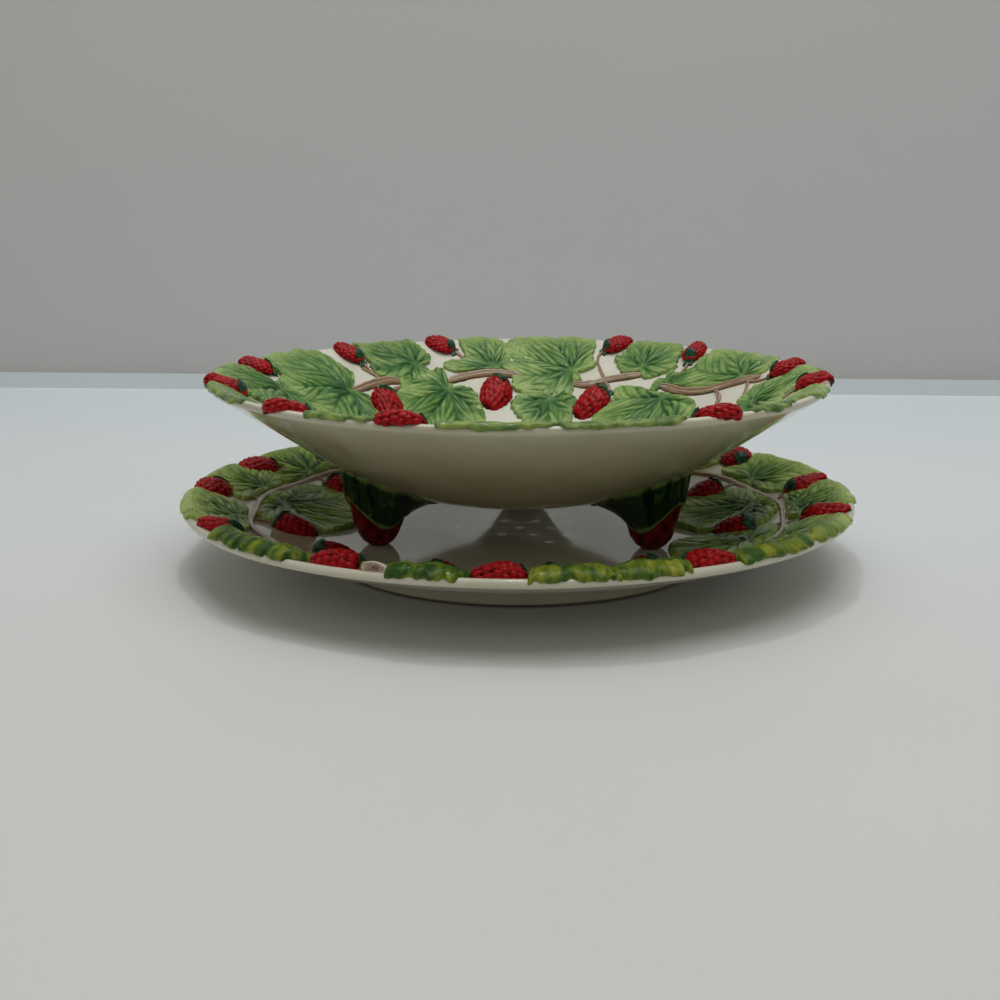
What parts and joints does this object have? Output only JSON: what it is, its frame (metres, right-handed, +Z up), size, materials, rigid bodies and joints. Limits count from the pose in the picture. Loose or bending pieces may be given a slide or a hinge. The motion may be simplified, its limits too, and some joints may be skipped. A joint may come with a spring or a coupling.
{
  "type": "footed colander bowl with underplate",
  "caption": "Footed colander bowl for berries, with a drain-holed floor and three berry-shaped feet, standing on a wide underplate; raised leaves, vines and berries on both.",
  "frame": {"origin": "centre of the underplate's foot ring, in the plane it stands on", "axes": "+Z up along the axis of both dishes; -Y towards the viewer of the picture, +X to the right"},
  "size_m": [0.3066, 0.3066, 0.0898],
  "materials": {
    "cream_glaze": "gloss",
    "bowl_leaf_glaze": "gloss",
    "plate_leaf_glaze": "gloss",
    "foot_leaf_glaze": "gloss",
    "berry_cap_glaze": "gloss",
    "vine_glaze": "gloss",
    "foot_berry_glaze": "gloss",
    "berry_glaze": "gloss"
  },
  "bodies": {
    "underplate": {"underplate_body": "cream_glaze", "underplate_vine": "vine_glaze", "underplate_rim_berries": "berry_glaze", "underplate_inner_berries": "berry_glaze", "underplate_berry_caps": "berry_cap_glaze", "underplate_leaf_01": "plate_leaf_glaze", "underplate_leaf_02": "plate_leaf_glaze", "underplate_leaf_03": "plate_leaf_glaze", "underplate_leaf_04": "plate_leaf_glaze", "underplate_leaf_05": "plate_leaf_glaze", "underplate_leaf_06": "plate_leaf_glaze", "underplate_leaf_07": "plate_leaf_glaze", "underplate_leaf_08": "plate_leaf_glaze", "underplate_leaf_09": "plate_leaf_glaze", "underplate_leaf_10": "plate_leaf_glaze", "underplate_leaf_11": "plate_leaf_glaze", "underplate_leaf_12": "plate_leaf_glaze", "underplate_leaf_13": "plate_leaf_glaze", "underplate_leaf_14": "plate_leaf_glaze", "underplate_leaf_15": "plate_leaf_glaze", "underplate_leaf_16": "plate_leaf_glaze", "underplate_leaf_17": "plate_leaf_glaze", "underplate_leaf_18": "plate_leaf_glaze", "underplate_leaf_19": "plate_leaf_glaze", "underplate_leaf_20": "plate_leaf_glaze"},
    "bowl": {"bowl_body": "cream_glaze", "bowl_vine": "vine_glaze", "bowl_rim_berries": "berry_glaze", "bowl_hanging_berries": "berry_glaze", "bowl_berry_caps": "berry_cap_glaze", "foot_berry_front_right": "foot_berry_glaze", "foot_berry_rear": "foot_berry_glaze", "foot_berry_front_left": "foot_berry_glaze", "foot_leaf_front_right": "foot_leaf_glaze", "foot_leaf_rear": "foot_leaf_glaze", "foot_leaf_front_left": "foot_leaf_glaze", "bowl_leaf_01": "bowl_leaf_glaze", "bowl_leaf_02": "bowl_leaf_glaze", "bowl_leaf_03": "bowl_leaf_glaze", "bowl_leaf_04": "bowl_leaf_glaze", "bowl_leaf_05": "bowl_leaf_glaze", "bowl_leaf_06": "bowl_leaf_glaze", "bowl_leaf_07": "bowl_leaf_glaze", "bowl_leaf_08": "bowl_leaf_glaze", "bowl_leaf_09": "bowl_leaf_glaze", "bowl_leaf_10": "bowl_leaf_glaze", "bowl_leaf_11": "bowl_leaf_glaze", "bowl_leaf_12": "bowl_leaf_glaze", "bowl_leaf_13": "bowl_leaf_glaze", "bowl_leaf_14": "bowl_leaf_glaze", "bowl_leaf_15": "bowl_leaf_glaze", "bowl_leaf_16": "bowl_leaf_glaze", "bowl_leaf_17": "bowl_leaf_glaze", "bowl_leaf_18": "bowl_leaf_glaze", "bowl_leaf_19": "bowl_leaf_glaze", "bowl_leaf_20": "bowl_leaf_glaze", "bowl_leaf_21": "bowl_leaf_glaze", "bowl_leaf_22": "bowl_leaf_glaze", "bowl_leaf_23": "bowl_leaf_glaze"}
  },
  "joints": [
    {"name": "bowl_lift", "type": "slide", "parent": "underplate", "child": "bowl", "axis": [0, 0, 1], "range_m": [0, 0.16]}
  ]
}
